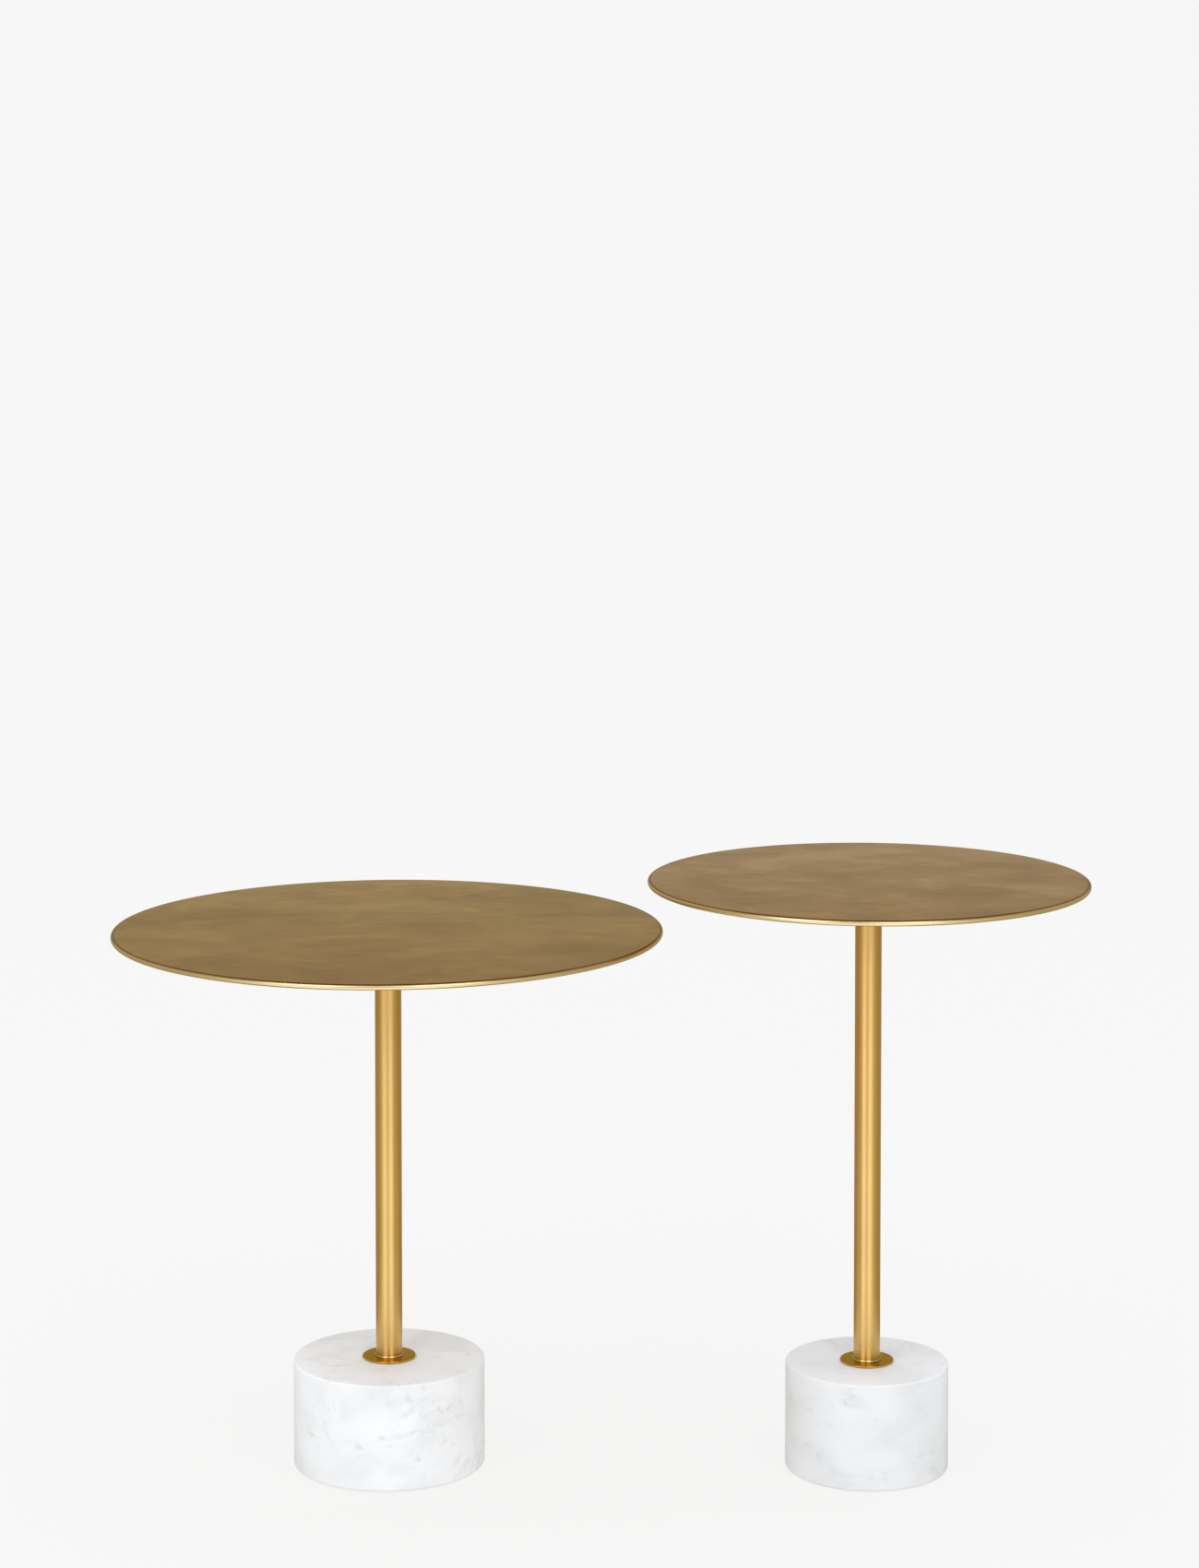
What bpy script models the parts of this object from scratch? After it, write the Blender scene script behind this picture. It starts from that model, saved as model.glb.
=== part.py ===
"""A pair of nesting side tables: a low wide one and a taller narrow one, each a thin round brass
top on a slim stem that stands on a drum of white marble.

Metres, +Z up. The origin is on the floor, midway along the pair. The low table's axis is at -X and
the tall one's at +X, so the tall table slides along X over the low one's top.
"""

import math

import bmesh
import bpy

# The pair
AXIS_SPACING = 0.436
LOW_HEIGHT = 0.493
TALL_HEIGHT = 0.540
LOW_TOP_RADIUS = 0.250
TALL_TOP_RADIUS = 0.200
LOW_BASE_RADIUS = 0.087
TALL_BASE_RADIUS = 0.074
PAIR_LENGTH = LOW_TOP_RADIUS + AXIS_SPACING + TALL_TOP_RADIUS
LOW_X = LOW_TOP_RADIUS - PAIR_LENGTH / 2
TALL_X = PAIR_LENGTH / 2 - TALL_TOP_RADIUS

# What both tables share
GAP = 0.0003                    # between pieces that touch
TOP_THICKNESS = 0.005
BASE_TOP = 0.098                # height of the marble's upper face
BASE_EDGE = 0.002               # radius of the marble's eased edges
PAD_THICKNESS = 0.0015
PAD_RADIUS = 0.010
PAD_INSET = 0.019               # from the marble's side to a pad's centre
STEM_RADIUS = 0.012
STEM_WALL = 0.0015
PLUG_LENGTH = 0.025
COLLAR_RADIUS = 0.0133
COLLAR_HEIGHT = 0.0012
COLLAR_EDGE = 0.0005
FLANGE_RADIUS = 0.0242
FLANGE_THICKNESS = 0.0017
FLANGE_EDGE = 0.0006
FLANGE_LIP = 0.0022             # width of the lip that hides the gasket
GASKET_THICKNESS = 0.0005

# The plate under each top
PLATE_RADIUS = 0.055
PLATE_THICKNESS = 0.004
PLATE_EDGE = 0.001
PLATE_SCREW_CIRCLE = 0.042      # radius that the screws' centres lie on
PLATE_SCREW_COUNT = 4
SCREW_RADIUS = 0.0025
SCREW_TIP = 0.0004              # chamfer at the end of the thread
SCREW_REACH = 0.0033            # into the tabletop
SCREW_HEAD_RADIUS = 0.0047
SCREW_HEAD_HEIGHT = 0.0032
SCREW_HEAD_SIDE = 0.0016        # height of the pan head's upright side
SCREW_HEAD_FACE = 0.0033        # radius of its flat face

# The countersunk bolt that holds the stem to its plate
STEM_BOLT_RADIUS = 0.003
STEM_BOLT_HEAD_RADIUS = 0.006
STEM_BOLT_HEAD_HEIGHT = 0.003
STEM_BOLT_LENGTH = 0.024

# The bolt that draws the stem down onto the marble
TIE_BOLT_RADIUS = 0.005
TIE_BOLT_HEAD_RADIUS = 0.0092   # across the hexagon's corners, halved
TIE_BOLT_HEAD_HEIGHT = 0.0064
TIE_BOLT_OVERLAP = 0.001        # how far the shank reaches into the head
TIE_BOLT_ENGAGEMENT = 0.020     # inside the foot plug
RECESS_RADIUS = 0.024
RECESS_DEPTH = 0.030
MARBLE_BORE_RADIUS = 0.0065
LOAD_WASHER_RADIUS = 0.020
LOAD_WASHER_THICKNESS = 0.003
LOCK_WASHER_RADIUS = 0.009
LOCK_WASHER_THICKNESS = 0.0022
LOCK_WASHER_SLOT = math.radians(15)

PAD_COUNT = 4
RIM_STEPS = 4                   # facets round the tabletop's half-round edge
EDGE_STEPS = 2                  # facets round an eased edge
TOP_SEGMENTS = 96
BASE_SEGMENTS = 64
FLANGE_SEGMENTS = 48
STEM_SEGMENTS = 32
SMALL_SEGMENTS = 24
SCREW_SEGMENTS = 16
HEXAGON_SEGMENTS = 6
SMOOTH_ANGLE = math.radians(35)


def clear_scene():
    for obj in list(bpy.data.objects):
        bpy.data.objects.remove(obj, do_unlink=True)


def make_material(name, colour, roughness, metallic):
    material = bpy.data.materials.new(name)
    material.use_nodes = True
    shader = material.node_tree.nodes["Principled BSDF"]
    shader.inputs["Base Color"].default_value = (*colour, 1.0)
    shader.inputs["Roughness"].default_value = roughness
    shader.inputs["Metallic"].default_value = metallic
    material.diffuse_color = (*colour, 1.0)
    return material


def arc(centre, radius, start, end, steps):
    """Points of an arc in the (radius, height) plane, with its angles in degrees from +radius."""
    points = []
    for step in range(steps + 1):
        angle = math.radians(start + (end - start) * step / steps)
        points.append((centre[0] + radius * math.cos(angle), centre[1] + radius * math.sin(angle)))
    return points


def turned(name, profile, segments, ring, angle=math.tau):
    """A mesh turned about Z from (radius, height) points that run down its outer side.

    A ring's profile closes on itself round a bore. Any other profile is open, and flat faces close
    its top and its bottom, as they close the two ends of a turn that isn't a whole one.
    """
    shape = bmesh.new()
    points = [shape.verts.new((radius, 0, height)) for radius, height in profile]
    following = points[1:] + points[:1] if ring else points[1:]
    edges = [shape.edges.new(pair) for pair in zip(points, following)]
    whole = angle == math.tau
    bmesh.ops.spin(shape, geom=points + edges, cent=(0, 0, 0), axis=(0, 0, 1), angle=angle,
                   steps=segments, use_merge=whole, use_duplicate=False)
    open_edges = [edge for edge in shape.edges if edge.is_boundary]
    bmesh.ops.holes_fill(shape, edges=open_edges, sides=0)
    bmesh.ops.recalc_face_normals(shape, faces=shape.faces)
    mesh = bpy.data.meshes.new(name)
    shape.to_mesh(mesh)
    shape.free()
    mesh.shade_smooth()
    mesh.set_sharp_from_angle(angle=SMOOTH_ANGLE)
    return mesh


def rectangle_profile(inner, outer, height):
    """The section of a flat ring that stands on height 0."""
    return [(inner, height), (outer, height), (outer, 0), (inner, 0)]


def eased_profile(inner, outer, height, edge):
    """The section of a flat ring whose outer upper corner is rounded."""
    corner = arc((outer - edge, height - edge), edge, 90, 0, EDGE_STEPS)
    return [(inner, height), *corner, (outer, 0), (inner, 0)]


def place(name, mesh, material, axis, height, offset=(0.0, 0.0)):
    """An object on a table's axis, with the mesh's height 0 at this height above the floor."""
    obj = bpy.data.objects.new(name, mesh)
    bpy.context.scene.collection.objects.link(obj)
    obj.parent = axis
    obj.location = (*offset, height)
    if not mesh.materials:
        mesh.materials.append(material)
    return obj


def cut(target, cutter):
    """Cuts one helper object from a piece, and hides the helper."""
    cutter.hide_render = True
    cutter.display_type = "WIRE"
    boolean = target.modifiers.new(cutter.name, "BOOLEAN")
    boolean.operation = "DIFFERENCE"
    boolean.object = cutter


def spread(count, radius):
    """Evenly spaced points on a circle, the first at 45 degrees."""
    for index in range(count):
        angle = math.radians(45) + math.tau * index / count
        yield radius * math.cos(angle), radius * math.sin(angle)


def drill(target, name, material, axis, radius, low, high):
    """Drills the plate screws' holes through a piece between two heights.

    The cutters turn by half a facet, so that none of their corners falls on an edge of the piece.
    """
    hole = turned(name, [(radius, high - low), (radius, 0)], SCREW_SEGMENTS, ring=False)
    for number, offset in enumerate(spread(PLATE_SCREW_COUNT, PLATE_SCREW_CIRCLE), 1):
        cutter = place(f"{name}_{number}", hole, material, axis, low, offset)
        cutter.rotation_euler.z = math.pi / SCREW_SEGMENTS
        cut(target, cutter)


def make_tabletop(table, axis, materials):
    """A thin disc with a half-round edge and blind holes for the plate screws."""
    half = TOP_THICKNESS / 2
    rim = arc((table["top_radius"] - half, half), half, 90, -90, RIM_STEPS)
    mesh = turned(table["name"] + "_tabletop", rim, TOP_SEGMENTS, ring=False)
    bottom = table["height"] - TOP_THICKNESS
    top = place(table["name"] + "_tabletop", mesh, materials["top_brass"], axis, bottom)
    drill(top, table["name"] + "_top_hole", materials["steel"], axis, SCREW_RADIUS + GAP,
          bottom - GAP, bottom + SCREW_REACH + GAP)
    return bottom


def make_mounting_plate(table, axis, materials, tabletop_bottom):
    """A steel disc under the top: a countersunk hole on its axis and four round ones about it."""
    bottom = tabletop_bottom - GAP - PLATE_THICKNESS
    hole = STEM_BOLT_RADIUS + GAP
    countersink = STEM_BOLT_HEAD_RADIUS + 2 * GAP
    depth = countersink - hole
    corner = (PLATE_RADIUS - PLATE_EDGE, PLATE_THICKNESS - PLATE_EDGE)
    profile = [(countersink, PLATE_THICKNESS), *arc(corner, PLATE_EDGE, 90, 0, EDGE_STEPS),
               (PLATE_RADIUS, 0), (hole, 0), (hole, PLATE_THICKNESS - depth)]
    mesh = turned(table["name"] + "_mounting_plate", profile, FLANGE_SEGMENTS, ring=True)
    plate = place(table["name"] + "_mounting_plate", mesh, materials["steel"], axis, bottom)
    drill(plate, table["name"] + "_plate_hole", materials["steel"], axis, SCREW_RADIUS + GAP,
          bottom - GAP, bottom + PLATE_THICKNESS + GAP)
    return bottom


def plate_screw_mesh():
    """A pan-head screw that points up, with its head's underside at height 0."""
    shank = PLATE_THICKNESS + GAP + SCREW_REACH
    profile = [(SCREW_RADIUS - SCREW_TIP, shank), (SCREW_RADIUS, shank - SCREW_TIP),
               (SCREW_RADIUS, 0), (SCREW_HEAD_RADIUS, 0), (SCREW_HEAD_RADIUS, -SCREW_HEAD_SIDE),
               (SCREW_HEAD_FACE, -SCREW_HEAD_HEIGHT)]
    return turned("plate_screw", profile, SCREW_SEGMENTS, ring=False)


def make_stem(table, axis, materials, plate_bottom, flange_top):
    """The hollow stem, the threaded plug in each of its ends, and the bolt through its plate."""
    name = table["name"]
    top = plate_bottom - GAP
    bottom = flange_top + GAP
    bore = STEM_RADIUS - STEM_WALL
    section = rectangle_profile(bore, STEM_RADIUS, top - bottom)
    tube = turned(name + "_stem_tube", section, STEM_SEGMENTS, ring=True)
    place(name + "_stem_tube", tube, materials["stem_brass"], axis, bottom)

    top_section = rectangle_profile(STEM_BOLT_RADIUS + GAP, bore - GAP, PLUG_LENGTH)
    top_plug = turned(name + "_stem_top_plug", top_section, SMALL_SEGMENTS, ring=True)
    place(name + "_stem_top_plug", top_plug, materials["steel"], axis, top - PLUG_LENGTH)
    foot_section = rectangle_profile(TIE_BOLT_RADIUS + GAP, bore - GAP, PLUG_LENGTH)
    foot_plug = turned(name + "_stem_foot_plug", foot_section, SMALL_SEGMENTS, ring=True)
    place(name + "_stem_foot_plug", foot_plug, materials["steel"], axis, bottom)

    shank = STEM_BOLT_LENGTH - STEM_BOLT_HEAD_HEIGHT
    bolt_profile = [(STEM_BOLT_HEAD_RADIUS, STEM_BOLT_LENGTH), (STEM_BOLT_RADIUS, shank),
                    (STEM_BOLT_RADIUS, 0)]
    bolt = turned(name + "_stem_bolt", bolt_profile, SCREW_SEGMENTS, ring=False)
    head_top = plate_bottom + PLATE_THICKNESS - GAP
    place(name + "_stem_bolt", bolt, materials["steel"], axis, head_top - STEM_BOLT_LENGTH)


def make_foot_rings(table, axis, materials):
    """The gasket, flange and collar that finish the stem's foot. Returns the flange's top.

    The flange is a shallow cap, whose lip comes down round the gasket.
    """
    name = table["name"]
    bottom = BASE_TOP + GAP
    pocket = FLANGE_RADIUS - FLANGE_LIP
    gasket_section = rectangle_profile(MARBLE_BORE_RADIUS, pocket - GAP, GASKET_THICKNESS)
    gasket = turned(name + "_flange_gasket", gasket_section, STEM_SEGMENTS, ring=True)
    place(name + "_flange_gasket", gasket, materials["seal"], axis, bottom)

    hole = TIE_BOLT_RADIUS + 2 * GAP
    ceiling = GASKET_THICKNESS + GAP
    corner = (FLANGE_RADIUS - FLANGE_EDGE, FLANGE_THICKNESS - FLANGE_EDGE)
    flange_section = [(hole, FLANGE_THICKNESS), *arc(corner, FLANGE_EDGE, 90, 0, EDGE_STEPS),
                      (FLANGE_RADIUS, 0), (pocket, 0), (pocket, ceiling), (hole, ceiling)]
    flange = turned(name + "_base_flange", flange_section, FLANGE_SEGMENTS, ring=True)
    place(name + "_base_flange", flange, materials["flange_brass"], axis, bottom)
    flange_top = bottom + FLANGE_THICKNESS

    collar_section = eased_profile(STEM_RADIUS + GAP, COLLAR_RADIUS, COLLAR_HEIGHT, COLLAR_EDGE)
    collar = turned(name + "_foot_collar", collar_section, STEM_SEGMENTS, ring=True)
    place(name + "_foot_collar", collar, materials["flange_brass"], axis, flange_top + GAP)
    return flange_top


def make_marble_base(table, axis, materials):
    """A marble drum with eased edges, a bore, and a recess underneath for the bolt and washers."""
    bottom = PAD_THICKNESS + GAP
    height = BASE_TOP - bottom
    inner = table["base_radius"] - BASE_EDGE
    upper_edge = arc((inner, height - BASE_EDGE), BASE_EDGE, 90, 0, EDGE_STEPS)
    lower_edge = arc((inner, BASE_EDGE), BASE_EDGE, 0, -90, EDGE_STEPS)
    profile = [(MARBLE_BORE_RADIUS, height), *upper_edge, *lower_edge, (RECESS_RADIUS, 0),
               (RECESS_RADIUS, RECESS_DEPTH), (MARBLE_BORE_RADIUS, RECESS_DEPTH)]
    name = table["name"] + "_marble_base"
    mesh = turned(name, profile, BASE_SEGMENTS, ring=True)
    place(name, mesh, materials["marble"], axis, bottom)
    return bottom + RECESS_DEPTH


def hex_bolt_mesh(name, length):
    """A hexagon-head bolt that points up, from its head's underside at height 0."""
    shank_profile = [(TIE_BOLT_RADIUS, length), (TIE_BOLT_RADIUS, -TIE_BOLT_OVERLAP)]
    shank = turned(name, shank_profile, SMALL_SEGMENTS, ring=False)
    head_profile = [(TIE_BOLT_HEAD_RADIUS, 0), (TIE_BOLT_HEAD_RADIUS, -TIE_BOLT_HEAD_HEIGHT)]
    head = turned(name + "_head", head_profile, HEXAGON_SEGMENTS, ring=False)
    return shank, head


def make_tie_bolt(table, axis, materials, recess_ceiling, stem_bottom):
    """The washers and the bolt that reach up from the recess into the stem's foot plug."""
    name = table["name"]
    load_bottom = recess_ceiling - GAP - LOAD_WASHER_THICKNESS
    load_section = rectangle_profile(TIE_BOLT_RADIUS + GAP, LOAD_WASHER_RADIUS, LOAD_WASHER_THICKNESS)
    load_washer = turned(name + "_load_washer", load_section, STEM_SEGMENTS, ring=True)
    place(name + "_load_washer", load_washer, materials["steel"], axis, load_bottom)

    lock_bottom = load_bottom - GAP - LOCK_WASHER_THICKNESS
    lock_section = rectangle_profile(TIE_BOLT_RADIUS + GAP, LOCK_WASHER_RADIUS, LOCK_WASHER_THICKNESS)
    lock_washer = turned(name + "_lock_washer", lock_section, SMALL_SEGMENTS, ring=True,
                         angle=math.tau - LOCK_WASHER_SLOT)
    place(name + "_lock_washer", lock_washer, materials["steel"], axis, lock_bottom)

    head_top = lock_bottom - GAP
    shank, head = hex_bolt_mesh(name + "_tie_bolt", stem_bottom + TIE_BOLT_ENGAGEMENT - head_top)
    bolt = place(name + "_tie_bolt", shank, materials["steel"], axis, head_top)
    bolt_head = place(name + "_tie_bolt_head", head, materials["steel"], axis, head_top)
    bolt_head.hide_render = True
    bolt_head.display_type = "WIRE"
    union = bolt.modifiers.new("head", "BOOLEAN")
    union.operation = "UNION"
    union.object = bolt_head


def make_table(table, materials, shared):
    """Builds one table round an empty on its axis."""
    name = table["name"]
    axis = bpy.data.objects.new(name + "_axis", None)
    bpy.context.scene.collection.objects.link(axis)
    axis.location = (table["x"], 0, 0)

    tabletop_bottom = make_tabletop(table, axis, materials)
    plate_bottom = make_mounting_plate(table, axis, materials, tabletop_bottom)
    for number, offset in enumerate(spread(PLATE_SCREW_COUNT, PLATE_SCREW_CIRCLE), 1):
        place(f"{name}_plate_screw_{number}", shared["plate_screw"], materials["steel"], axis,
              plate_bottom - GAP, offset)
    flange_top = make_foot_rings(table, axis, materials)
    make_stem(table, axis, materials, plate_bottom, flange_top)
    recess_ceiling = make_marble_base(table, axis, materials)
    make_tie_bolt(table, axis, materials, recess_ceiling, flange_top + GAP)
    for number, offset in enumerate(spread(PAD_COUNT, table["base_radius"] - PAD_INSET), 1):
        place(f"{name}_foot_pad_{number}", shared["foot_pad"], materials["felt"], axis, 0, offset)


def main():
    clear_scene()
    materials = {
        "top_brass": make_material("antique_brass", (0.52, 0.34, 0.13), 0.34, 1.0),
        "stem_brass": make_material("satin_brass", (0.90, 0.61, 0.23), 0.2, 1.0),
        "flange_brass": make_material("polished_brass", (0.80, 0.48, 0.11), 0.14, 1.0),
        "marble": make_material("white_marble", (0.84, 0.84, 0.84), 0.36, 0.0),
        "steel": make_material("zinc_steel", (0.58, 0.59, 0.60), 0.35, 1.0),
        "seal": make_material("milky_silicone", (0.65, 0.64, 0.61), 0.5, 0.0),
        "felt": make_material("grey_felt", (0.12, 0.12, 0.12), 0.95, 0.0),
    }
    pad_section = [(PAD_RADIUS, PAD_THICKNESS), (PAD_RADIUS, 0)]
    shared = {
        "plate_screw": plate_screw_mesh(),
        "foot_pad": turned("foot_pad", pad_section, SMALL_SEGMENTS, ring=False),
    }
    tables = [
        {"name": "low", "x": LOW_X, "height": LOW_HEIGHT, "top_radius": LOW_TOP_RADIUS,
         "base_radius": LOW_BASE_RADIUS},
        {"name": "tall", "x": TALL_X, "height": TALL_HEIGHT, "top_radius": TALL_TOP_RADIUS,
         "base_radius": TALL_BASE_RADIUS},
    ]
    for table in tables:
        make_table(table, materials, shared)


main()
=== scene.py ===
"""The looks of a pair of nesting side tables: brushed brass tops and stems over white marble drums.

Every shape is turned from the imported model's own boxes, in metres. A piece's mesh is made round its
own axis with height 0 on the floor, so object coordinates give each material the real scale.
"""

import math

import bmesh
import bpy
from mathutils import Euler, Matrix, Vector


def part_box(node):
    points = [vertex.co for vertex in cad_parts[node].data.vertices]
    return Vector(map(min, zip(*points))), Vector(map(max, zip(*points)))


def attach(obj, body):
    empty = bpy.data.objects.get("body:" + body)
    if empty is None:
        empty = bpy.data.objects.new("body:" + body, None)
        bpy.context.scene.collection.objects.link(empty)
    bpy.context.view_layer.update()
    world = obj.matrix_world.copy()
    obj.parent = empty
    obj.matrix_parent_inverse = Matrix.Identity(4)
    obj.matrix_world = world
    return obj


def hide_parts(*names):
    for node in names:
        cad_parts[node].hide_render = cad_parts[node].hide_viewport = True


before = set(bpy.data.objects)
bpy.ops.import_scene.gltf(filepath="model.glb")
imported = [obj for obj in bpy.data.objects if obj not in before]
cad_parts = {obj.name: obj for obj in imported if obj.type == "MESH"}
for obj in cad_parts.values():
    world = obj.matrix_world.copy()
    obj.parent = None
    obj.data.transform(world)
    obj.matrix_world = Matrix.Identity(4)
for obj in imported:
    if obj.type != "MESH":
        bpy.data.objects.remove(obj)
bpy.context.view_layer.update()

TABLES = ("low", "tall")
NUMBERS = range(1, 5)           # of the screws in a plate, and of the pads under a base
GAP = 0.0003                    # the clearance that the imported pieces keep
SHARP = math.radians(32)        # an edge sharper than this stays crisp

# Facets round a turned piece
FINE = 256                      # a tabletop or a drum
MEDIUM = 128
SMALL = 64
SCREW = 48
COARSE = 32                     # a hole or a threaded shank
HEXAGON = 6

# Boolean tools
PAST = 0.001                    # how far a tool reaches past the piece it cuts
TOOL_TURN = 0.05                # radians, so that no corner of a tool falls on an edge of the piece
CONE_TURN = 0.02

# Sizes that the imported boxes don't show
TOP_CIRCLES = (0.25, 0.6, 0.9)  # edge loops across a top, as shares of its radius
RIM_STEPS = 24                  # facets round a top's half-round edge
RIM_HIGHLIGHT_BAND = (0.0011, 0.0006)     # where a top's painted highlight, a paler rim colour, fades in, measured in from its edge
SHOULDER_BAND = (0.0034, 0.0026)    # and where the painted dark reflection, a dark line inside it, does
STEM_WALL = 0.0015
STEM_EDGE = 0.0003
SEAL_EDGE = 0.0002
COLLAR_BORE = 0.0123
COLLAR_BEVEL = 0.001            # height of the bevel
COLLAR_EDGE = 0.0005            # width of the bevel
COLLAR_LIP = 0.0001             # ease between the bevel and the upper face
FLANGE_BORE = 0.0056
FLANGE_UPPER_EDGE = 0.0006
FLANGE_LOWER_EDGE = 0.0003
MARBLE_BORE = 0.0065
MARBLE_EDGE = 0.002
RECESS_RADIUS = 0.024
RECESS_EDGE = 0.001
BORE_EDGE = 0.0008
PLATE_BORE = 0.0033
PLATE_COUNTERSINK = 0.0066
PLATE_UPPER_EDGE = 0.001
PLATE_LOWER_EDGE = 0.0005
WASHER_BORE = 0.0053
WASHER_EDGE = 0.0004
WASHER_SPLIT = math.radians(15)
PAD_EDGE = 0.0005

# The plate's pan-head screws
SCREW_HOLE = 0.0028
SCREW_SHANK = 0.0025
SCREW_THREAD = 0.00035          # depth of the thread
SCREW_TURNS = 9
SCREW_TIP = 0.0004
SCREW_TIP_INSET = 0.0006
SCREW_HEAD_SIDE = 0.0014        # height of the head's upright side
SCREW_HEAD_EDGE = 0.0002
SLOT_PAST = 0.0002              # how far the slot's tool reaches past the head's face
SLOT_HALF_WIDTH = 0.00055
SLOT_HALF_LENGTH = 0.0028
SLOT_DEPTH = 0.62               # as a share of the head's height
SLOT_TAPER = 0.35               # the slot's length at its bottom, as a share of its mouth
SLOT_TURN = 0.3                 # radians from one screw's slot to the next
SLOT_START = 0.04

# The hexagon bolt under the marble
BOLT_CORNER = 0.0092            # radius of the hexagon's corners
BOLT_CHAMFER_RADIUS = 0.0094
BOLT_CHAMFER = math.radians(30)
BOLT_FACE = 0.97                # radius of the head's round face, as a share of the flats' radius
BOLT_SHANK = 0.005
BOLT_PITCH = 0.0015
BOLT_THREAD = 0.0006            # depth of the thread
BOLT_TIP = 0.001                # chamfer at the end of the thread
BOLT_THREAD_LENGTH = 0.026


# ---------------------------------------------------------------- shapes

def arc(centre, radius, start, end, steps):
    """Points of an arc in the (radius, height) plane, with its angles in degrees from +radius."""
    angles = [math.radians(start + (end - start) * step / steps) for step in range(steps + 1)]
    return [(centre[0] + radius * math.cos(a), centre[1] + radius * math.sin(a)) for a in angles]


def ring_section(inner, outer, low, high, edge, steps=4):
    """The section of a flat ring with all four corners rounded, running down its outer side."""
    return [*arc((inner + edge, high - edge), edge, 180, 90, steps),
            *arc((outer - edge, high - edge), edge, 90, 0, steps),
            *arc((outer - edge, low + edge), edge, 0, -90, steps),
            *arc((inner + edge, low + edge), edge, -90, -180, steps)]


def as_mesh(name, shape):
    """Turns a bmesh into a mesh, and frees it."""
    mesh = bpy.data.meshes.new(name)
    shape.to_mesh(mesh)
    shape.free()
    return mesh


def turned(name, profile, segments, ring, angle=math.tau):
    """A mesh turned about Z from (radius, height) points that run down its outer side.

    A ring's profile closes on itself round a bore. Any other profile is open, and flat faces close
    its top and its bottom, as they close the two ends of a turn that isn't a whole one.
    """
    shape = bmesh.new()
    points = [shape.verts.new((radius, 0, height)) for radius, height in profile]
    following = points[1:] + points[:1] if ring else points[1:]
    edges = [shape.edges.new(pair) for pair in zip(points, following)]
    whole = angle == math.tau
    bmesh.ops.spin(shape, geom=points + edges, cent=(0, 0, 0), axis=(0, 0, 1), angle=angle,
                   steps=segments, use_merge=whole, use_duplicate=False)
    open_edges = [edge for edge in shape.edges if edge.is_boundary]
    bmesh.ops.holes_fill(shape, edges=open_edges, sides=0)
    bmesh.ops.recalc_face_normals(shape, faces=shape.faces)
    return as_mesh(name, shape)


def tapered_slot(low, high):
    """A wedge that narrows upwards: one pair of arms of a screw's cross recess."""
    shape = bmesh.new()
    rings = []
    for height, share in ((low - SLOT_PAST, 1.0), (high, SLOT_TAPER)):
        x, y = SLOT_HALF_LENGTH * share, SLOT_HALF_WIDTH
        corners = ((-x, -y), (x, -y), (x, y), (-x, y))
        rings.append([shape.verts.new((*corner, height)) for corner in corners])
    lower, upper = rings
    shape.faces.new(lower[::-1])
    shape.faces.new(upper)
    for index in range(4):
        after = (index + 1) % 4
        shape.faces.new((lower[index], lower[after], upper[after], upper[index]))
    return as_mesh("slot", shape)


def show(name, mesh, x, y=0, z=0):
    """An object that wears a mesh, linked into the scene."""
    obj = bpy.data.objects.new(name, mesh)
    bpy.context.scene.collection.objects.link(obj)
    obj.location = (x, y, z)
    return obj


def boolean(obj, operation, mesh, offsets, turn):
    """Joins copies of a mesh to a piece, or cuts them from it, and keeps the result as its mesh."""
    for offset in offsets:
        tool = show("tool", mesh, *(obj.location + Vector(offset)))
        tool.rotation_euler.z = turn
        modifier = obj.modifiers.new("tool", "BOOLEAN")
        modifier.operation = operation
        modifier.object = tool
        bpy.context.view_layer.update()
        graph = bpy.context.evaluated_depsgraph_get()
        result = bpy.data.meshes.new_from_object(obj.evaluated_get(graph))
        obj.modifiers.clear()
        obj.data = result
        bpy.data.objects.remove(tool)


def finish_piece(obj, table, part, material):
    """Smooths a piece, paints it, and says which CAD node it stands for and what it moves with."""
    obj.data.shade_smooth()
    obj.data.set_sharp_from_angle(angle=SHARP)
    obj.data.materials.clear()
    obj.data.materials.append(material)
    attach(obj, table + "_table")
    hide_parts(f"{table}_{part}")


class Seat:
    """Where a CAD node is: its axis, its lowest and highest point, and its outer radius."""

    def __init__(self, node):
        low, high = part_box(node)
        self.x = (low.x + high.x) / 2
        self.y = (low.y + high.y) / 2
        self.low = low.z
        self.high = high.z
        self.radius = (high.x - low.x) / 2


def screw_seats(table):
    return [Seat(f"{table}_plate_screw_{number}") for number in NUMBERS]


# ---------------------------------------------------------------- materials

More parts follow.
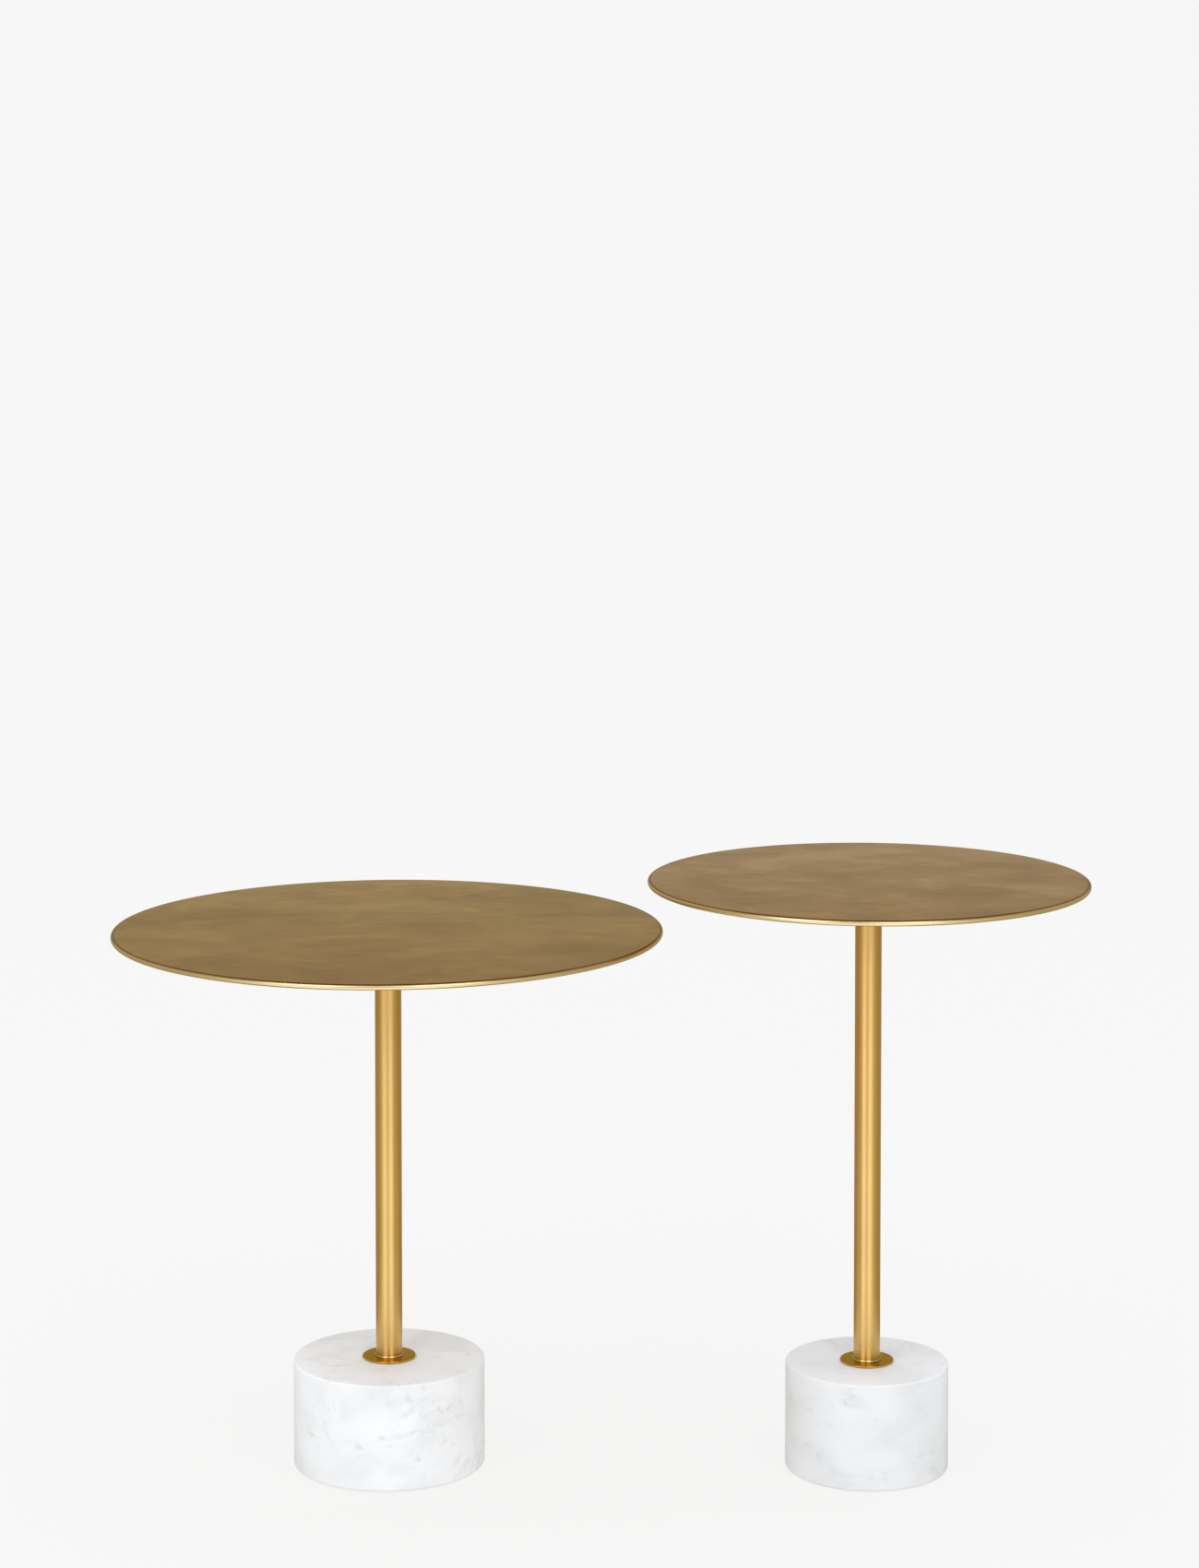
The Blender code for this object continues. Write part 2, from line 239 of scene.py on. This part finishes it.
class Nodes:
    """A short way to build a node tree. Each method adds a node and returns its output."""

    def __init__(self, tree, coordinates):
        self.tree = tree
        self.coords = tree.nodes.new("ShaderNodeTexCoord").outputs[coordinates]

    def feed(self, socket, value):
        """Links a socket to another node's output, or sets it to a number or a colour."""
        if isinstance(value, bpy.types.NodeSocket):
            self.tree.links.new(value, socket)
        elif socket.type == "RGBA" and len(value) == 3:
            socket.default_value = (*value, 1)
        else:
            socket.default_value = value

    def add(self, kind, inputs):
        node = self.tree.nodes.new(kind)
        for name, value in inputs.items():
            self.feed(node.inputs[name], value)
        return node

    def vector(self, operation, inputs):
        """A vector, a length or a dot product."""
        node = self.add("ShaderNodeVectorMath", dict(enumerate(inputs)))
        node.operation = operation
        return node.outputs["Vector" if operation in ("MULTIPLY", "NORMALIZE") else "Value"]

    def span(self, value, near, far):
        """0 where a value is near, 1 where it is far, and held at 0 and 1 outside them."""
        inputs = {"Value": value, "From Min": near, "From Max": far}
        return self.add("ShaderNodeMapRange", inputs).outputs["Result"]

    def ramp(self, value, stops):
        """A colour from a value between 0 and 1: stops are (position, grey or colour)."""
        node = self.add("ShaderNodeValToRGB", {"Fac": value})
        elements = node.color_ramp.elements
        while len(elements) < len(stops):
            elements.new(0.5)
        for element, (position, colour) in zip(elements, stops):
            element.position = position
            grey = isinstance(colour, (int, float))
            element.color = (colour, colour, colour, 1) if grey else (*colour, 1)
        return node.outputs["Color"]

    def mix(self, factor, first, second, mode="MIX"):
        node = self.tree.nodes.new("ShaderNodeMix")
        node.data_type = "RGBA"
        node.blend_type = mode
        self.feed(node.inputs[0], factor)
        self.feed(node.inputs[6], first)
        self.feed(node.inputs[7], second)
        return node.outputs[2]


class Paint(Nodes):
    """A Principled material, in the coordinates of the object that wears it."""

    def __init__(self, name, roughness, metallic):
        self.material = bpy.data.materials.new(name)
        self.material.use_nodes = True
        super().__init__(self.material.node_tree, "Object")
        self.shader = self.tree.nodes["Principled BSDF"]
        self.use({"Roughness": roughness, "Metallic": metallic})

    def use(self, inputs):
        """Sets or links the shader's own inputs."""
        for name, value in inputs.items():
            self.feed(self.shader.inputs[name], value)
        return self.material

    def space(self, scale=(1, 1, 1), rotation=(0, 0, 0), shift=(0, 0, 0)):
        inputs = {"Vector": self.coords, "Scale": scale, "Rotation": rotation, "Location": shift}
        return self.add("ShaderNodeMapping", inputs).outputs["Vector"]

    def noise(self, vector, scale, detail=4.0, roughness=0.5, distortion=0.0):
        inputs = {"Vector": vector, "Scale": scale, "Detail": detail, "Roughness": roughness,
                  "Distortion": distortion}
        return self.add("ShaderNodeTexNoise", inputs).outputs["Fac"]

    def outside(self, near, far):
        """0 within one distance from the piece's axis, 1 beyond another."""
        level = self.vector("MULTIPLY", [self.coords, (1, 1, 0)])
        return self.span(self.vector("LENGTH", [level]), near, far)

    def across(self, near, far):
        """0 at one place along Y, 1 at another."""
        split = self.add("ShaderNodeSeparateXYZ", {"Vector": self.coords})
        return self.span(split.outputs["Y"], near, far)

    def bump(self, height, strength, distance, normal=None):
        inputs = {"Height": height, "Strength": strength, "Distance": distance}
        if normal is not None:
            inputs["Normal"] = normal
        return self.add("ShaderNodeBump", inputs).outputs["Normal"]


def top_brass(radius, shift, tint):
    """Brushed brass with the soft brown clouds of a hand-rubbed antique finish.

    A painted dark reflection follows the shoulder, the rim's paler colour is a painted highlight, and
    the top grows paler and cooler towards the back as a painted reflection.
    """
    paint = Paint("top_brass", 0.34, 1.0)
    cloud = paint.noise(paint.space((1.0, 1.2, 1.0), (0, 0, 0.2), shift), 11.0, 5.0, 0.55, 0.5)
    wisp = paint.noise(paint.space((1.0, 1.6, 1.0), (0, 0, -0.15), shift), 38.0, 4.0, 0.6, 0.3)
    brush = paint.noise(paint.space((14.0, 900.0, 1.0)), 1.0, 3.0, 0.6)
    shoulder = paint.outside(*(radius - inset for inset in SHOULDER_BAND))
    rim = paint.outside(*(radius - inset for inset in RIM_HIGHLIGHT_BAND))

    tone = paint.ramp(cloud, [(0.34, (0.61, 0.386, 0.118)), (0.5, (0.75, 0.497, 0.18)),
                              (0.66, (0.88, 0.612, 0.262))])
    tone = paint.mix(0.4, tone, paint.ramp(wisp, [(0.35, 0.7), (0.65, 1.0)]), "MULTIPLY")
    tone = paint.mix(0.12, tone, paint.ramp(brush, [(0.3, 0.6), (0.7, 1.0)]), "MULTIPLY")
    # Painted light: the tint lightens and cools a top to match how it is lit.
    tone = paint.mix(1.0, tone, tint, "MULTIPLY")
    # Painted reflection: the top grows paler and cooler from front to back, standing for the pale room
    # mirrored at a glancing angle.
    front_reflection_tone, back_reflection_tone = (0.985, 0.895, 0.77), (1.16, 1.205, 1.42)
    painted_reflection_fade = paint.mix(paint.across(-radius, radius), front_reflection_tone, back_reflection_tone)
    tone = paint.mix(1.0, tone, painted_reflection_fade, "MULTIPLY")
    # Painted dark reflection: a dark line along the shoulder stands for the dark ceiling mirrored in
    # its curve.
    painted_dark_reflection = paint.mix(1.0, tone, (0.56, 0.39, 0.13), "MULTIPLY")
    tone = paint.mix(shoulder, tone, painted_dark_reflection)
    # Painted highlight: the rim takes a paler brass colour that stands for the lights gleaming on it.
    tone = paint.mix(rim, tone, (0.95, 0.775, 0.46))

    gloss = paint.ramp(paint.mix(0.5, cloud, brush), [(0.3, 0.28), (0.7, 0.40)])
    gloss = paint.mix(shoulder, gloss, (0.3, 0.3, 0.3))
    relief = paint.bump(paint.mix(shoulder, brush, (0.5, 0.5, 0.5)), 0.06, 0.0002)
    return paint.use({"Base Color": tone, "Roughness": gloss, "Normal": relief})


def stem_brass():
    """Satin brass, drawn lengthways and rubbed round, so that it blurs reflections along the stem."""
    paint = Paint("stem_brass", 0.3, 1.0)
    drawn = paint.noise(paint.space((900.0, 900.0, 5.0)), 1.0, 2.0, 0.5)
    rubbed = paint.noise(paint.space((10.0, 10.0, 1400.0)), 1.0, 2.0, 0.5)
    cloud = paint.noise(paint.space((1.0, 1.0, 0.6)), 22.0, 3.0, 0.5)
    tone = paint.ramp(cloud, [(0.3, (0.88, 0.59, 0.215)), (0.7, (0.95, 0.645, 0.25))])
    tone = paint.mix(0.10, tone, paint.ramp(drawn, [(0.3, 0.7), (0.7, 1.0)]), "MULTIPLY")
    gloss = paint.ramp(paint.mix(0.5, drawn, rubbed), [(0.3, 0.28), (0.7, 0.34)])
    relief = paint.bump(rubbed, 0.05, 0.0001, paint.bump(drawn, 0.05, 0.0001))
    return paint.use({"Base Color": tone, "Roughness": gloss, "Normal": relief,
                      "Anisotropic": 1.0, "Anisotropic Rotation": 0.25})


def collar_brass():
    """The turned ring at the stem's foot, painted paler than the stem as a painted highlight."""
    paint = Paint("collar_brass", 0.26, 1.0)
    marks = paint.noise(paint.space((60.0, 60.0, 2500.0)), 1.0, 2.0, 0.5)
    # Painted highlight: a paler brass than the stem's, standing for the light gleaming on the ring.
    tone = paint.ramp(marks, [(0.3, (0.87, 0.66, 0.31)), (0.7, (0.92, 0.71, 0.35))])
    gloss = paint.ramp(marks, [(0.3, 0.22), (0.7, 0.3)])
    return paint.use({"Base Color": tone, "Roughness": gloss,
                      "Normal": paint.bump(marks, 0.03, 0.0001)})


def flange_brass():
    """Polished brass with the fine rings of a lathe."""
    paint = Paint("flange_brass", 0.14, 1.0)
    inputs = {"Vector": paint.coords, "Scale": 900.0, "Distortion": 1.5, "Detail": 2.0}
    lathe = paint.add("ShaderNodeTexWave", inputs)
    lathe.wave_type = "RINGS"
    lathe.rings_direction = "Z"
    haze = paint.noise(paint.space(), 160.0)
    tone = paint.ramp(haze, [(0.3, (0.62, 0.368, 0.068)), (0.7, (0.69, 0.42, 0.09))])
    gloss = paint.ramp(haze, [(0.3, 0.10), (0.75, 0.20)])
    return paint.use({"Base Color": tone, "Roughness": gloss, "Specular Tint": (0.97, 0.82, 0.5),
                      "Normal": paint.bump(lathe.outputs["Fac"], 0.03, 0.0001)})


def white_marble(shift, tint, fleck_tone):
    """Honed white marble: pale clouds, faint soft veins and a few small grey flecks."""
    paint = Paint("white_marble", 0.36, 0.0)
    plain = paint.space(shift=shift)
    cloud = paint.noise(paint.space((1, 1, 1.3), shift=shift), 20.0, 4.0, 0.5, 0.4)
    drift = paint.noise(paint.space((1.0, 1.0, 1.6), (0.5, 0.5, 0.2), shift), 13.0, 5.0, 0.55, 0.8)
    specks = paint.noise(paint.space((1.0, 1.0, 1.4), (0.3, 0.1, 0), shift), 110.0, 3.0, 0.55, 0.5)

    body = paint.ramp(cloud, [(0.3, 0.90), (0.5, 0.97), (0.7, 1.0)])
    vein = paint.ramp(drift, [(0.44, 1.0), (0.5, 0.90), (0.56, 1.0)])
    vein_region = paint.ramp(paint.noise(plain, 16.0, 1.0), [(0.5, 0.0), (0.7, 1.0)])
    stone = paint.mix(vein_region, body, paint.mix(1.0, body, vein, "MULTIPLY"))
    fleck = paint.ramp(specks, [(0.58, 1.0), (0.70, fleck_tone)])
    fleck_region = paint.ramp(paint.noise(plain, 30.0, 2.0), [(0.45, 0.0), (0.58, 1.0)])
    stone = paint.mix(fleck_region, stone, paint.mix(1.0, stone, fleck, "MULTIPLY"))

    gloss = paint.ramp(cloud, [(0.3, 0.30), (0.7, 0.42)])
    grain = paint.noise(paint.space(), 1800.0, 2.0)
    return paint.use({"Base Color": paint.mix(1.0, stone, tint, "MULTIPLY"), "Roughness": gloss,
                      "Specular IOR Level": 0.2, "Normal": paint.bump(grain, 0.06, 0.0001)})


def zinc_steel():
    """Zinc-plated steel with faint crystals."""
    paint = Paint("zinc_steel", 0.35, 1.0)
    cloud = paint.noise(paint.space(), 120.0)
    tone = paint.ramp(cloud, [(0.3, (0.50, 0.51, 0.52)), (0.7, (0.66, 0.67, 0.68))])
    gloss = paint.ramp(paint.noise(paint.space(), 420.0, 3.0), [(0.3, 0.26), (0.7, 0.46)])
    return paint.use({"Base Color": tone, "Roughness": gloss,
                      "Normal": paint.bump(cloud, 0.1, 0.0001)})


def milky_silicone():
    """A thin seal of milky silicone."""
    paint = Paint("seal_silicone", 0.5, 0.0)
    grain = paint.noise(paint.space(), 600.0, 3.0)
    tone = paint.ramp(grain, [(0.3, (0.60, 0.59, 0.56)), (0.7, (0.70, 0.69, 0.66))])
    gloss = paint.ramp(grain, [(0.3, 0.4), (0.7, 0.6)])
    return paint.use({"Base Color": tone, "Roughness": gloss,
                      "Normal": paint.bump(grain, 0.2, 0.0001)})


def grey_felt():
    """Dense pressed felt: short fibres that lie every way."""
    paint = Paint("pad_felt", 0.95, 0.0)
    fibre = paint.noise(paint.space((300.0, 1800.0, 300.0), (0, 0, 0.6)), 1.0, 3.0, 0.7)
    cross = paint.noise(paint.space((1800.0, 300.0, 300.0), (0, 0, -0.4)), 1.0, 3.0, 0.7)
    felt = paint.mix(0.5, fibre, cross)
    tone = paint.ramp(felt, [(0.35, (0.05, 0.05, 0.052)), (0.65, (0.17, 0.17, 0.175))])
    gloss = paint.ramp(felt, [(0.3, 0.88), (0.7, 1.0)])
    return paint.use({"Base Color": tone, "Roughness": gloss,
                      "Normal": paint.bump(felt, 0.6, 0.0004)})


# ---------------------------------------------------------------- pieces

def make_top(table, materials):
    """The disc with its half-round rim, and blind holes for the plate's screws."""
    seat = Seat(table + "_tabletop")
    half = (seat.high - seat.low) / 2
    rim = arc((seat.radius - half, seat.low + half), half, 90, -90, RIM_STEPS)
    circles = [seat.radius * share for share in TOP_CIRCLES]
    upper = [(radius, seat.high) for radius in circles]
    lower = [(radius, seat.low) for radius in reversed(circles)]
    name = table + "_top_disc"
    top = show(name, turned(name, [*upper, *rim, *lower], FINE, ring=False), seat.x)

    screws = screw_seats(table)
    reach = screws[0].high - seat.low + GAP
    hole = turned("hole", [(SCREW_HOLE, reach), (SCREW_HOLE, -PAST)], COARSE, ring=False)
    offsets = [(screw.x - seat.x, screw.y, seat.low) for screw in screws]
    boolean(top, "DIFFERENCE", hole, offsets, TOOL_TURN)
    finish_piece(top, table, "tabletop", materials["top_brass"])


def make_stem(table, materials):
    """The hollow stem, with its ends eased."""
    seat = Seat(table + "_stem_tube")
    section = ring_section(seat.radius - STEM_WALL, seat.radius, seat.low, seat.high, STEM_EDGE)
    name = table + "_stem"
    stem = show(name, turned(name, section, MEDIUM, ring=True), seat.x)
    finish_piece(stem, table, "stem_tube", materials["stem_brass"])


def make_collar(table, materials):
    """The low ring round the stem's foot, bevelled so that its upper side gleams."""
    seat = Seat(table + "_foot_collar")
    bevel_top = seat.radius - COLLAR_EDGE
    section = [(COLLAR_BORE, seat.high), (bevel_top - COLLAR_LIP, seat.high),
               (bevel_top, seat.high - COLLAR_LIP), (seat.radius, seat.high - COLLAR_BEVEL),
               (seat.radius, seat.low), (COLLAR_BORE, seat.low)]
    name = table + "_collar"
    collar = show(name, turned(name, section, MEDIUM, ring=True), seat.x)
    finish_piece(collar, table, "foot_collar", materials["collar_brass"])


def make_flange(table, materials):
    """The shallow brass cap round the stem's foot, whose lip hides the seal."""
    seat = Seat(table + "_base_flange")
    seal = Seat(table + "_flange_gasket")
    pocket = seal.radius + GAP
    ceiling = seal.high + GAP
    upper, lower = FLANGE_UPPER_EDGE, FLANGE_LOWER_EDGE
    section = [(FLANGE_BORE, seat.high),
               *arc((seat.radius - upper, seat.high - upper), upper, 90, 0, 6),
               *arc((seat.radius - lower, seat.low + lower), lower, 0, -90, 3),
               (pocket, seat.low), (pocket, ceiling), (FLANGE_BORE, ceiling)]
    name = table + "_flange_cap"
    flange = show(name, turned(name, section, MEDIUM, ring=True), seat.x)
    finish_piece(flange, table, "base_flange", materials["flange_brass"])


def make_seal(table, materials):
    """The thin seal under the flange."""
    seat = Seat(table + "_flange_gasket")
    section = ring_section(MARBLE_BORE, seat.radius, seat.low, seat.high, SEAL_EDGE)
    name = table + "_seal"
    seal = show(name, turned(name, section, MEDIUM, ring=True), seat.x)
    finish_piece(seal, table, "flange_gasket", materials["seal_silicone"])


def make_drum(table, materials):
    """The marble drum, with its bore and the recess under it."""
    seat = Seat(table + "_marble_base")
    inner = seat.radius - MARBLE_EDGE
    recess = Seat(table + "_load_washer").high + GAP
    section = [*arc((MARBLE_BORE + BORE_EDGE, seat.high - BORE_EDGE), BORE_EDGE, 180, 90, 3),
               *arc((inner, seat.high - MARBLE_EDGE), MARBLE_EDGE, 90, 0, 8),
               *arc((inner, seat.low + MARBLE_EDGE), MARBLE_EDGE, 0, -90, 8),
               *arc((RECESS_RADIUS + RECESS_EDGE, seat.low + RECESS_EDGE), RECESS_EDGE, -90, -180, 3),
               (RECESS_RADIUS, recess), (MARBLE_BORE, recess)]
    name = table + "_marble_drum"
    drum = show(name, turned(name, section, FINE, ring=True), seat.x)
    finish_piece(drum, table, "marble_base", materials["white_marble"])


def make_plate(table, materials):
    """The steel disc under the top, with its countersink and its four screw holes."""
    seat = Seat(table + "_mounting_plate")
    depth = PLATE_COUNTERSINK - PLATE_BORE
    upper, lower = PLATE_UPPER_EDGE, PLATE_LOWER_EDGE
    section = [(PLATE_COUNTERSINK, seat.high),
               *arc((seat.radius - upper, seat.high - upper), upper, 90, 0, 5),
               *arc((seat.radius - lower, seat.low + lower), lower, 0, -90, 4),
               (PLATE_BORE, seat.low), (PLATE_BORE, seat.high - depth)]
    name = table + "_plate"
    plate = show(name, turned(name, section, MEDIUM, ring=True), seat.x)

    drill = [(SCREW_HOLE, seat.high + PAST), (SCREW_HOLE, seat.low - PAST)]
    hole = turned("hole", drill, COARSE, ring=False)
    offsets = [(screw.x - seat.x, screw.y, 0) for screw in screw_seats(table)]
    boolean(plate, "DIFFERENCE", hole, offsets, TOOL_TURN)
    finish_piece(plate, table, "mounting_plate", materials["zinc_steel"])


def make_screws(table, materials):
    """Pan-head machine screws with a cross recess, pointing up into the top."""
    shoulder = Seat(table + "_mounting_plate").low - GAP
    for number, seat in zip(NUMBERS, screw_seats(table)):
        thread_top = seat.high - SCREW_TIP
        pitch = (seat.high - shoulder - SCREW_TIP) / SCREW_TURNS
        thread = []
        for turn in range(SCREW_TURNS):
            crest = thread_top - pitch * turn
            thread += [(SCREW_SHANK, crest), (SCREW_SHANK - SCREW_THREAD, crest - pitch / 2)]
        side = shoulder - SCREW_HEAD_SIDE
        dome = [(seat.radius * math.cos(math.radians(angle)),
                 side - (side - seat.low) * math.sin(math.radians(angle)))
                for angle in range(0, 90, 15)]
        profile = [(SCREW_SHANK - SCREW_TIP_INSET, seat.high), *thread, (SCREW_SHANK, shoulder),
                   (seat.radius - SCREW_HEAD_EDGE, shoulder),
                   (seat.radius, shoulder - SCREW_HEAD_EDGE), *dome]
        name = f"{table}_plate_screw_{number}_pan"
        screw = show(name, turned(name, profile, SCREW, ring=False), seat.x, seat.y)
        slot = tapered_slot(seat.low, seat.low + (shoulder - seat.low) * SLOT_DEPTH)
        turn = SLOT_TURN * number + SLOT_START
        boolean(screw, "DIFFERENCE", slot, [(0, 0, 0)], turn)
        boolean(screw, "DIFFERENCE", slot, [(0, 0, 0)], turn + math.pi / 2)
        finish_piece(screw, table, f"plate_screw_{number}", materials["zinc_steel"])


def make_tie_bolt(table, materials):
    """A hexagon-head bolt with a chamfered head and a threaded shank."""
    name = table + "_tie_bolt"
    seat = Seat(name)
    face = Seat(table + "_lock_washer").low - GAP
    hexagon = [(BOLT_CORNER, face), (BOLT_CORNER, seat.low)]
    bolt = show(name + "_hex", turned(name + "_hexagon", hexagon, HEXAGON, ring=False), seat.x)

    round_face = BOLT_CORNER * math.cos(math.pi / HEXAGON) * BOLT_FACE
    rise = (BOLT_CHAMFER_RADIUS - round_face) * math.tan(BOLT_CHAMFER)
    cone = [(BOLT_CHAMFER_RADIUS, face + PAST), (BOLT_CHAMFER_RADIUS, seat.low + rise),
            (round_face, seat.low), (round_face, seat.low - PAST)]
    boolean(bolt, "INTERSECT", turned("cone", cone, SMALL, ring=False), [(0, 0, 0)], CONE_TURN)

    height = seat.high - BOLT_TIP
    shank = [(BOLT_SHANK - BOLT_TIP, seat.high), (BOLT_SHANK, height)]
    while height > seat.high - BOLT_THREAD_LENGTH:
        shank += [(BOLT_SHANK - BOLT_THREAD, height - BOLT_PITCH / 2),
                  (BOLT_SHANK, height - BOLT_PITCH)]
        height -= BOLT_PITCH
    shank.append((BOLT_SHANK, face - PAST))
    boolean(bolt, "UNION", turned("shank", shank, COARSE, ring=False), [(0, 0, 0)], TOOL_TURN)
    finish_piece(bolt, table, "tie_bolt", materials["zinc_steel"])


def make_washers(table, materials):
    """A thick load washer, and a split spring washer pressed flat."""
    for part, angle in (("load_washer", math.tau), ("lock_washer", math.tau - WASHER_SPLIT)):
        seat = Seat(f"{table}_{part}")
        section = ring_section(WASHER_BORE, seat.radius, seat.low, seat.high, WASHER_EDGE)
        name = f"{table}_{part}_eased"
        washer = show(name, turned(name, section, MEDIUM, ring=True, angle=angle), seat.x)
        finish_piece(washer, table, part, materials["zinc_steel"])


def make_pads(table, materials):
    """Felt discs with an eased upper edge."""
    for number in NUMBERS:
        part = f"foot_pad_{number}"
        seat = Seat(f"{table}_{part}")
        edge = arc((seat.radius - PAD_EDGE, seat.high - PAD_EDGE), PAD_EDGE, 90, 0, 3)
        name = f"{table}_{part}_felt"
        mesh = turned(name, [*edge, (seat.radius, 0)], SMALL, ring=False)
        pad = show(name, mesh, seat.x, seat.y)
        finish_piece(pad, table, part, materials["pad_felt"])


def paint_kept_nodes(table, materials):
    """The bolt and plugs inside the stem keep their CAD shape, with a better material."""
    for part in ("stem_bolt", "stem_top_plug", "stem_foot_plug"):
        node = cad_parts[f"{table}_{part}"]
        node.data.materials.clear()
        node.data.materials.append(materials["zinc_steel"])


# ---------------------------------------------------------------- studio

SOFTBOX_AZIMUTHS = (-34, 24)    # degrees from the camera's side, growing to the right
SOFTBOX_ELEVATION = 38
SOFTBOX_DISTANCE = 2.6
SOFTBOX_SIZE = (1.2, 1.8)
SOFTBOX_RADIANCE = 1.93
SOFTBOX_COLOUR = (1, 0.995, 0.99)
SOFTBOX_AIM = Vector((0, 0, 0.3))
FLOOR_SIZE = 60
BACKDROP = (0.922, 0.922, 0.922)

# The room's light, as grey levels and colours by the cosine of an angle: first of the angle from
# straight up, then from the camera's side, and last from a softbox's azimuth
SKY = [(-0.2, 0.70), (0.25, 0.72), (1.0, (1.62, 1.73, 1.90))]
HORIZON = [(-0.06, 1), (0.10, 0)]
CEILING = [(0.62, 1), (0.88, 0.26)]
LOW_WALLS = [(-1.0, (0.36, 0.31, 0.19)), (-0.66, (0.37, 0.31, 0.17)), (-0.17, (0.42, 0.35, 0.17)),
             (0.2, (0.52, 0.435, 0.225)), (0.55, (0.60, 0.52, 0.30)), (1.0, (0.72, 0.65, 0.44))]
HIGH_WALLS = [(-1.0, (0.39, 0.363, 0.27)), (0.0, (0.407, 0.363, 0.253)), (1.0, (0.46, 0.396, 0.242))]
GLOW = [(0.68, 0), (0.83, (0.08, 0.09, 0.12)), (0.92, (0.21, 0.25, 0.34)),
        (0.96, (0.35, 0.41, 0.58)), (1.0, (0.51, 0.60, 0.90))]


def towards(azimuth, elevation=0):
    """The direction of an azimuth and an elevation in degrees. Azimuth 0 is the camera's side."""
    a, e = math.radians(azimuth), math.radians(elevation)
    return Vector((math.sin(a) * math.cos(e), -math.cos(a) * math.cos(e), math.sin(e)))


def make_floor():
    """A pale floor that metal doesn't see, so that its reflections are the room's alone."""
    bpy.ops.mesh.primitive_plane_add(size=FLOOR_SIZE)
    floor = bpy.context.object
    floor.name = "floor"
    paint = Paint("floor", 0.9, 0.0)
    paint.use({"Base Color": (0.084, 0.08, 0.074), "Specular IOR Level": 0.0,
               "Emission Color": (1, 1, 1), "Emission Strength": 0.826})
    floor.data.materials.append(paint.material)
    floor.visible_glossy = False


def make_softbox(azimuth):
    """A rectangular light that faces the pair."""
    name = f"softbox_{azimuth}"
    width, height = SOFTBOX_SIZE
    data = bpy.data.lights.new(name, "AREA")
    data.shape = "RECTANGLE"
    data.size = width
    data.size_y = height
    data.energy = SOFTBOX_RADIANCE * math.pi * width * height
    data.color = SOFTBOX_COLOUR
    light = bpy.data.objects.new(name, data)
    bpy.context.scene.collection.objects.link(light)
    away = towards(azimuth, SOFTBOX_ELEVATION)
    light.location = SOFTBOX_AIM + away * SOFTBOX_DISTANCE
    light.rotation_euler = away.to_track_quat("Z", "Y").to_euler()
    light.visible_camera = False


def make_world():
    """White to the camera. Metal sees a dim warm room with a paler, cooler front and a dark ceiling."""
    world = bpy.data.worlds.new("studio")
    bpy.context.scene.world = world
    world.use_nodes = True
    nodes = Nodes(world.node_tree, "Generated")

    def room_ramp(cosine, stops):
        """A colour from a cosine, with the stops' positions from -1 to 1."""
        scaled = [((position + 1) / 2, colour) for position, colour in stops]
        return nodes.ramp(nodes.span(cosine, -1, 1), scaled)

    level = nodes.vector("NORMALIZE", [nodes.vector("MULTIPLY", [nodes.coords, (1, 1, 0)])])
    front = nodes.vector("DOT_PRODUCT", [level, towards(0)])
    up = nodes.vector("DOT_PRODUCT", [nodes.coords, (0, 0, 1)])
    low_walls = room_ramp(front, LOW_WALLS)
    for azimuth in SOFTBOX_AZIMUTHS:
        glow = room_ramp(nodes.vector("DOT_PRODUCT", [level, towards(azimuth)]), GLOW)
        low_walls = nodes.mix(1.0, low_walls, glow, "ADD")
    room = nodes.mix(room_ramp(up, HORIZON), room_ramp(front, HIGH_WALLS), low_walls)
    room = nodes.mix(1.0, room, room_ramp(up, CEILING), "MULTIPLY")
    ray = world.node_tree.nodes.new("ShaderNodeLightPath")
    seen = nodes.mix(ray.outputs["Is Diffuse Ray"], room, room_ramp(up, SKY))
    seen = nodes.mix(ray.outputs["Is Camera Ray"], seen, BACKDROP)
    nodes.feed(world.node_tree.nodes["Background"].inputs["Color"], seen)


def make_camera():
    """A long lens, a little above the tops, held nearly level so that the stems stay upright."""
    data = bpy.data.cameras.new("camera")
    data.sensor_fit = "AUTO"
    data.sensor_width = 36.0
    data.lens = 84.2
    data.shift_y = -0.227
    camera = bpy.data.objects.new("camera", data)
    bpy.context.scene.collection.objects.link(camera)
    camera.location = (0.0917, -3.2958, 1.130)
    tilt, turn = 0.055, 0.028
    camera.rotation_euler = Euler((math.pi / 2 - tilt, 0, turn))
    bpy.context.scene.camera = camera


# What differs between the tables: where in the noise their patterns lie, and the tones of each
SHIFTS = {"low": (0, 0, 0), "tall": (0.7, 0.4, 0.2)}
# Painted light: the tops' tints stand for how each is lit, with the tall one painted paler and cooler.
TOP_PAINTED_LIGHT_TINTS = {"low": (0.96, 0.94, 0.91), "tall": (1.05, 1.06, 1.46)}
STONE_TINTS = {"low": (0.858, 0.859, 0.862), "tall": (0.784, 0.787, 0.791)}
FLECK_TONES = {"low": 0.86, "tall": 0.92}
PIECES = (make_top, make_stem, make_collar, make_flange, make_seal, make_drum, make_plate,
          make_screws, make_tie_bolt, make_washers, make_pads, paint_kept_nodes)


def main():
    shared = {
        "stem_brass": stem_brass(),
        "flange_brass": flange_brass(),
        "collar_brass": collar_brass(),
        "zinc_steel": zinc_steel(),
        "seal_silicone": milky_silicone(),
        "pad_felt": grey_felt(),
    }
    for table in TABLES:
        radius = Seat(table + "_tabletop").radius
        shift = SHIFTS[table]
        materials = {
            **shared,
            "top_brass": top_brass(radius, shift, TOP_PAINTED_LIGHT_TINTS[table]),
            "white_marble": white_marble(shift, STONE_TINTS[table], FLECK_TONES[table]),
        }
        for make_piece in PIECES:
            make_piece(table, materials)
    make_floor()
    make_world()
    for azimuth in SOFTBOX_AZIMUTHS:
        make_softbox(azimuth)
    make_camera()
    bpy.context.scene.view_settings.view_transform = "Standard"


main()
